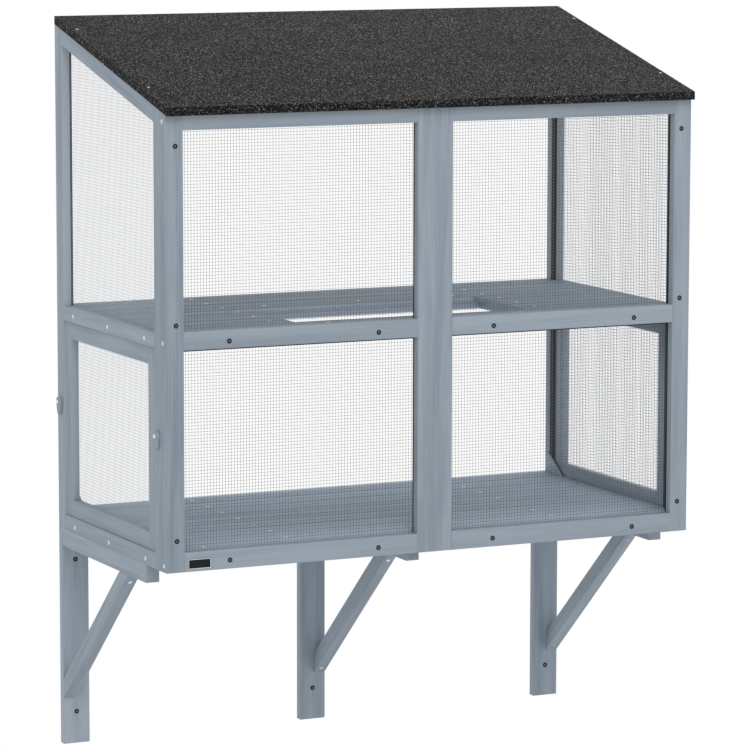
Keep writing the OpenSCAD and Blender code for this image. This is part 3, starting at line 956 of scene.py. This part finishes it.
def board_screws():
    """Rows of screws over the battens of the shelf and the floor. Those of the outer rows and most
    of the middle rows get the dimmer zinc, painted shade for screws that show no glint."""
    inner_x, outer_x = 295, 529
    first_row = -513.5
    rows = [first_row + PLANK_PITCH / MM * i for i in range(PLANK_COUNT)]
    bright = [(x, y, z) for z in (FLOOR_TOP, SHELF_TOP) for x in (-inner_x, inner_x) for y in rows]
    bright += [(x, y, SHELF_TOP) for x in (-202, 9, 225) for y in (-511, -200)]
    bright.append((-486, -546, FLOOR_TOP))
    painted = [(x, y, FLOOR_TOP) for x in (-outer_x, 0, outer_x) for y in rows]
    painted += [(x, y, SHELF_TOP) for x in (-outer_x, outer_x) for y in rows]
    painted += [(0, y, SHELF_TOP) for y in rows[-2:]]
    return [[(at(*place), Z_AXIS) for place in places] for places in (bright, painted)]


def roof_nails():
    """The nails through the felt, near the roof's ends."""
    left_x, right_x = -562, 565
    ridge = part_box("roof_felt")[1].z
    outward = Vector((0, -ROOF_SLOPE, 1)).normalized()
    return [(Vector((x * MM, y * MM, ridge + ROOF_SLOPE * y * MM)), outward)
            for x in (left_x, right_x) for y in (-465, -92)]


def button_screws():
    """The round heads that the turn buttons hang on."""
    head_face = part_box("button_screws")[1].x - PIVOT_HEAD_RISE
    spots = []
    for side, word in ((-1, "left"), (1, "right")):
        for name in ("front", "rear"):
            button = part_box("turn_button_" + name + "_" + word)
            middle = sum(button, Vector()).y / 2
            spots.append((Vector((side * head_face, middle, PIVOT_Z)), side * X_AXIS))
    return spots


def make_screws():
    # Lit and shaded copies of one zinc: bright_zinc is near white, its own colour pushed up as a
    # painted glint; dull_zinc on the cap screws is painted shade for a dark reflection; the third,
    # dimmer zinc is painted shade on screws and nails that show no glint
    zinc = screw_metal("bright_zinc", srgb(240, 244, 248), srgb(252, 253, 255), 0.4)
    dull_zinc = screw_metal("dull_zinc", srgb(96, 102, 110), srgb(128, 134, 142), 0.6)
    no_glint_zinc = screw_metal("no_glint_zinc", srgb(160, 168, 176), srgb(186, 193, 200), 0.3)
    capped = front_screws() + leg_screws()
    bright, painted = board_screws()
    bright_braces, no_glint_braces = brace_screws()
    finished("screw_shade_rings", place_copies(countersink_shade_ring(), capped), black_plastic("shade_ring_black", 0.6),
             "enclosure")
    for name, spots, head, metal in (
            ("cap_screws", capped, screw_head(CAP_HEAD_R, CAP_HEAD_RISE), dull_zinc),
            ("side_screws", side_screws() + bright_braces, side_head(), zinc),
            ("no_glint_brace_screws", no_glint_braces, side_head(), no_glint_zinc),
            ("board_screws", bright, board_head(), zinc),
            ("no_glint_board_screws", painted, board_head(), no_glint_zinc),
            ("roof_nails", roof_nails(), nail_head(), no_glint_zinc)):
        finished(name, place_copies(head, spots), metal, "enclosure")
    pivots = place_copies(screw_head(PIVOT_HEAD_R, PIVOT_HEAD_RISE), button_screws())
    finished("pivot_screws", pivots, zinc, "enclosure", ["button_screws"])


# Plate

def make_plate():
    """A bare dark plate with a pale rim, on the front's bottom rail."""
    plate = bmesh.new()
    bmesh.ops.create_cube(plate, size=1.0)
    bmesh.ops.scale(plate, verts=plate.verts, vec=(PLATE_W, PLATE_T, PLATE_H))
    corners = [e for e in plate.edges if abs(e.verts[0].co.y - e.verts[1].co.y) > PLATE_T / 2]
    bmesh.ops.bevel(plate, geom=corners, offset=PLATE_CORNER, segments=4, profile=0.5,
                    affect="EDGES", material=-1)
    bmesh.ops.translate(plate, verts=plate.verts, vec=(PLATE_X, FRONT_Y - PLATE_T / 2, PLATE_Z))
    front = [f for f in plate.faces if f.normal.y < -0.9]
    bmesh.ops.inset_region(plate, faces=front, thickness=PLATE_EDGE)
    rim = bmesh.ops.inset_region(plate, faces=front, thickness=PLATE_RIM)
    bmesh.ops.inset_region(plate, faces=front, thickness=PLATE_EDGE, depth=-PLATE_SINK)
    for face in rim["faces"]:
        face.material_index = 1
    piece = finished("plain_plate", plate, black_plastic("plate_black", 0.35), "enclosure")
    piece.data.materials.append(
        screw_metal("plate_rim", srgb(214, 217, 220), srgb(238, 240, 242), 0.3))


# Studio

def make_floor():
    shape = bmesh.new()
    bmesh.ops.create_circle(shape, cap_ends=True, radius=FLOOR_RADIUS, segments=FLOOR_SIDES)
    bmesh.ops.translate(shape, verts=shape.verts, vec=FLOOR_MIDDLE)
    mesh = bpy.data.meshes.new("floor")
    shape.to_mesh(mesh)
    shape.free()
    floor = bpy.data.objects.new("floor", mesh)
    bpy.context.scene.collection.objects.link(floor)
    finish = Finish("pale_floor")
    finish.set(Base_Color=srgb(236, 236, 236), Roughness=0.9)
    mesh.materials.append(finish.material)


def make_sky():
    """Soft light from all round, and plain white where the camera, a gloss or a
    clear piece looks at it."""
    world = bpy.data.worlds.new("studio")
    bpy.context.scene.world = world
    world.use_nodes = True
    nodes = world.node_tree.nodes
    links = world.node_tree.links
    light = nodes["Background"]
    white = nodes.new("ShaderNodeBackground")
    for background, strength in ((light, SKY_LIGHT), (white, 1.0)):
        background.inputs["Color"].default_value = (1, 1, 1, 1)
        background.inputs["Strength"].default_value = strength
    path = nodes.new("ShaderNodeLightPath")
    shown = path.outputs["Is Camera Ray"]
    for ray in ("Is Glossy Ray", "Is Transmission Ray"):
        either = nodes.new("ShaderNodeMath")
        either.operation = "MAXIMUM"
        links.new(shown, either.inputs[0])
        links.new(path.outputs[ray], either.inputs[1])
        shown = either.outputs[0]
    mix = nodes.new("ShaderNodeMixShader")
    links.new(shown, mix.inputs["Fac"])
    links.new(light.outputs[0], mix.inputs[1])
    links.new(white.outputs[0], mix.inputs[2])
    links.new(mix.outputs[0], nodes["World Output"].inputs["Surface"])


def make_lamp(name, place, width, power):
    light = bpy.data.lights.new(name, "AREA")
    light.shape = "DISK"
    light.size = width
    light.energy = power
    lamp = bpy.data.objects.new(name, light)
    bpy.context.scene.collection.objects.link(lamp)
    lamp.location = place
    lamp.rotation_mode = "QUATERNION"
    lamp.rotation_quaternion = (LAMP_AIM - Vector(place)).to_track_quat("-Z", "Y")


def make_camera():
    data = bpy.data.cameras.new("camera")
    data.lens = CAMERA_LENS
    data.clip_end = 60
    camera = bpy.data.objects.new("camera", data)
    bpy.context.scene.collection.objects.link(camera)
    camera.matrix_world = (
        Matrix.Translation(CAMERA_PLACE)
        @ Matrix.Rotation(math.radians(-CAMERA_YAW), 4, "Z")
        @ Matrix.Rotation(math.radians(90 + CAMERA_PITCH), 4, "X")
        @ Matrix.Rotation(math.radians(CAMERA_ROLL), 4, "Z"))
    bpy.context.scene.camera = camera


make_camera()
make_timber()
make_nets()
dress("roof_board", bare_wood())
make_felt()
make_strips()
make_screws()
make_plate()

make_floor()
make_sky()
for lamp_settings in LAMPS:
    make_lamp(*lamp_settings)
bpy.context.scene.view_settings.view_transform = "Standard"
